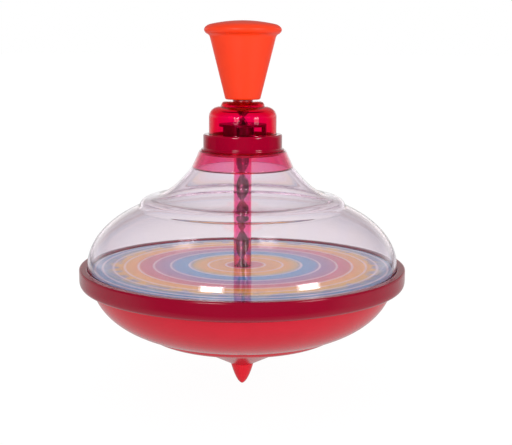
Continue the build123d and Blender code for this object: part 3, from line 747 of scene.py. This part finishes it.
# %% [markdown]
# ## What each ray meets
# The top stands in a plain white studio. Floor and sky could simply be white for all rays, but
# then every glossy red would wash out: a studio is lit around its table and dark beyond it, and
# deep red plastic keeps its depth only where it has something dark to mirror. So floor and sky
# ask what kind of ray has come. The lens, also through clear plastic, sees white, a mirroring
# surface sees a lit table with a darker room, and the object is lit by the softer diffuse share.

# %% Kinds of ray
SMOOTH = {"interpolation_type": "SMOOTHSTEP"}


def ray_kinds(tree):
    """Four flags. lens: seen by the camera, straight or through clear plastic. gloss: mirrored, and
    not of the lens. within: has gone through clear plastic before. camera: straight only."""
    path = add(tree, "ShaderNodeLightPath")
    lens = add(tree, "ShaderNodeMath", {"operation": "MAXIMUM"},
               {0: path.outputs["Is Camera Ray"], 1: path.outputs["Is Transmission Ray"]})
    gloss = add(tree, "ShaderNodeMath", {"operation": "SUBTRACT", "use_clamp": True},
                {0: path.outputs["Is Glossy Ray"], 1: lens})
    within = add(tree, "ShaderNodeMath", {"operation": "MINIMUM", 1: 1.0},
                 {0: path.outputs["Transmission Depth"]})
    return {"camera": path.outputs["Is Camera Ray"], "lens": lens, "gloss": gloss,
            "within": within}


print("ray tool: floor and sky tell four kinds of ray apart")

# %% [markdown]
# ## Floor
# A paper sweep would do in a studio. Here a flat floor that runs to the horizon is simpler, and
# white without a seam. Most of what the lens sees of it is plain white light, and the small matt
# share keeps the soft shadow under the top. In gloss it is brightest under and behind the top,
# and fades out towards the front and the sides.

# %% Floor
FLOOR_REACH = 40.0       # m, half the floor's side
LENS_WHITE = 1.04        # a touch over white, so that the matt share's shadow is faint
LENS_SHARE = 0.93
WITHIN_WHITE = 0.8       # what a ray that is mirrored inside clear plastic meets
floor_paint, tree = new_material("studio_floor_white")
place = add(tree, "ShaderNodeTexCoord").outputs["Object"]
axes = add(tree, "ShaderNodeSeparateXYZ", None, {0: place})
rays = ray_kinds(tree)
front = add(tree, "ShaderNodeMapRange",
            {**SMOOTH, "From Min": -0.26, "From Max": -0.07, "To Min": 0.05, "To Max": 0.62},
            {"Value": axes.outputs["Y"]})
aside = add(tree, "ShaderNodeMath", {"operation": "ABSOLUTE"}, {0: axes.outputs["X"]})
beside_it = add(tree, "ShaderNodeMapRange",
                {**SMOOTH, "From Min": 0.25, "From Max": 0.70, "To Min": 1.0, "To Max": 0.12},
                {"Value": aside})
beyond_it = add(tree, "ShaderNodeMapRange", {**SMOOTH, "From Min": 0.50, "From Max": 1.50},
                {"Value": axes.outputs["Y"]})
around = add(tree, "ShaderNodeMath", {"operation": "MAXIMUM"}, {0: beside_it, 1: beyond_it})
table = add(tree, "ShaderNodeMath", {"operation": "MULTIPLY"}, {0: front, 1: around})
inner = add(tree, "ShaderNodeMath", {"operation": "MULTIPLY", 1: WITHIN_WHITE},
            {0: rays["within"]})
mirrored = add(tree, "ShaderNodeMath", {"operation": "MAXIMUM"}, {0: table, 1: inner})
matt = add(tree, "ShaderNodeBsdfDiffuse", {"Color": linear("#F6F6F6")})
seen = add(tree, "ShaderNodeEmission", {"Color": WHITE, "Strength": LENS_WHITE})
shine = add(tree, "ShaderNodeEmission", {"Color": WHITE}, {"Strength": mirrored})
share = add(tree, "ShaderNodeMath", {"operation": "MULTIPLY", 1: LENS_SHARE}, {0: rays["lens"]})
lens_mix = add(tree, "ShaderNodeMixShader", None, {0: share, 1: matt, 2: seen})
blend = add(tree, "ShaderNodeMixShader", None, {0: rays["gloss"], 1: lens_mix, 2: shine})
add(tree, "ShaderNodeOutputMaterial", None, {"Surface": blend})

floor_mesh = bpy.data.meshes.new("studio_floor")
signs = ((-1, -1), (1, -1), (1, 1), (-1, 1))
floor_mesh.from_pydata([(x * FLOOR_REACH, y * FLOOR_REACH, 0) for x, y in signs], [],
                       [(0, 1, 2, 3)])
floor_mesh.materials.append(floor_paint)
floor = bpy.data.objects.new("studio_floor", floor_mesh)
bpy.context.scene.collection.objects.link(floor)
print("floor:", 2 * FLOOR_REACH, "m square")

# %% [markdown]
# ## Sky
# An environment picture could light the top, but a plain sky is enough and stays neutral. The
# camera and clear plastic see it white, diffuse light takes it at an even, lower level, and in
# gloss it is dim overhead and behind the camera, where a studio is dark.

# %% World
AMBIENT = 0.66
world = bpy.data.worlds.new("studio_sky")
bpy.context.scene.world = world
world.use_nodes = True
tree = world.node_tree
tree.nodes.clear()
place = add(tree, "ShaderNodeTexCoord")
axes = add(tree, "ShaderNodeSeparateXYZ", None, {0: place.outputs["Generated"]})
rays = ray_kinds(tree)
upward = add(tree, "ShaderNodeMapRange",
             {**SMOOTH, "From Min": 0.05, "From Max": 0.30, "To Min": 1.0, "To Max": 0.30},
             {"Value": axes.outputs["Z"]})
behind = add(tree, "ShaderNodeMapRange",
             {**SMOOTH, "From Min": 0.0, "From Max": 0.55, "To Min": 0.10, "To Max": 1.0},
             {"Value": axes.outputs["Y"]})
lit = add(tree, "ShaderNodeMath", {"operation": "MAXIMUM"}, {0: behind, 1: rays["within"]})
in_gloss = add(tree, "ShaderNodeMath", {"operation": "MULTIPLY"}, {0: upward, 1: lit})
clear_view = add(tree, "ShaderNodeMix", {"data_type": "FLOAT", 2: AMBIENT, 3: 1.0},
                 {0: rays["lens"]})
gloss_view = add(tree, "ShaderNodeMix", {"data_type": "FLOAT"},
                 {0: rays["gloss"], 2: clear_view, 3: in_gloss})
level = add(tree, "ShaderNodeMath", {"operation": "MAXIMUM"}, {0: gloss_view, 1: rays["camera"]})
sky = add(tree, "ShaderNodeBackground", {"Color": WHITE}, {"Strength": level})
add(tree, "ShaderNodeOutputWorld", None, {"Surface": sky})
print("sky: diffuse light at", AMBIENT)


# %% [markdown]
# ## Lamps
# Two softboxes stand in front, left and right, and show as the two bright panes on dome, cap and
# ring. A bare lamp would give hard dots. An area lamp has an even face, and a real softbox glows
# less towards its edge, so a larger and weaker lamp lies round each.

# %% Lamps
AIM = Vector((0.0, 0.0, 0.09))               # low in the dome
LAMP_DISTANCE, LAMP_ELEVATION = 1.4, 6.3     # m and degrees, from there


def softbox(name, azimuth, width, height, radiance):
    """Oblong area lamp that faces the dome. azimuth is degrees to the right of the camera side, and
    the power for a radiance L is pi * L * area."""
    az, el = np.radians(azimuth), np.radians(LAMP_ELEVATION)
    lamp = bpy.data.lights.new(name, "AREA")
    lamp.shape = "RECTANGLE"
    lamp.size = width
    lamp.size_y = height
    lamp.energy = np.pi * radiance * width * height
    holder = bpy.data.objects.new(name, lamp)
    out = Vector((np.cos(el) * np.sin(az), -np.cos(el) * np.cos(az), np.sin(el)))
    holder.location = AIM + LAMP_DISTANCE * out
    holder.rotation_euler = out.to_track_quat("Z", "Y").to_euler()
    bpy.context.scene.collection.objects.link(holder)
    print(f"{name}: {lamp.energy:.2f} W")


for side_name, azimuth in (("left", -21.0), ("right", 46.5)):
    softbox(f"softbox_{side_name}", azimuth, width=0.36, height=0.32, radiance=13.0)
    softbox(f"softbox_{side_name}_edge", azimuth, width=0.44, height=0.38, radiance=3.0)

# %% [markdown]
# ## Camera
# The camera looks slightly down on the top from in front, close enough that the disc opens up
# under the dome. A long lens from further off would flatten it. The tiny roll and turn are those
# of a camera held by hand.

# %% Camera
LENS, SENSOR = 72.0, 36.0                    # mm
LOOK_DOWN, ROLL, TURN = 9.54, -0.26, -0.722  # degrees
camera_data = bpy.data.cameras.new("lens")
camera_data.lens = LENS
camera_data.sensor_width = SENSOR
camera = bpy.data.objects.new("camera", camera_data)
camera.location = (0.0, -0.591, 0.197)
camera.rotation_euler = np.radians((90.0 - LOOK_DOWN, ROLL, TURN)).tolist()
bpy.context.scene.collection.objects.link(camera)
bpy.context.scene.camera = camera
bpy.context.scene.view_settings.view_transform = "Standard"
print("camera at", list(camera.location))
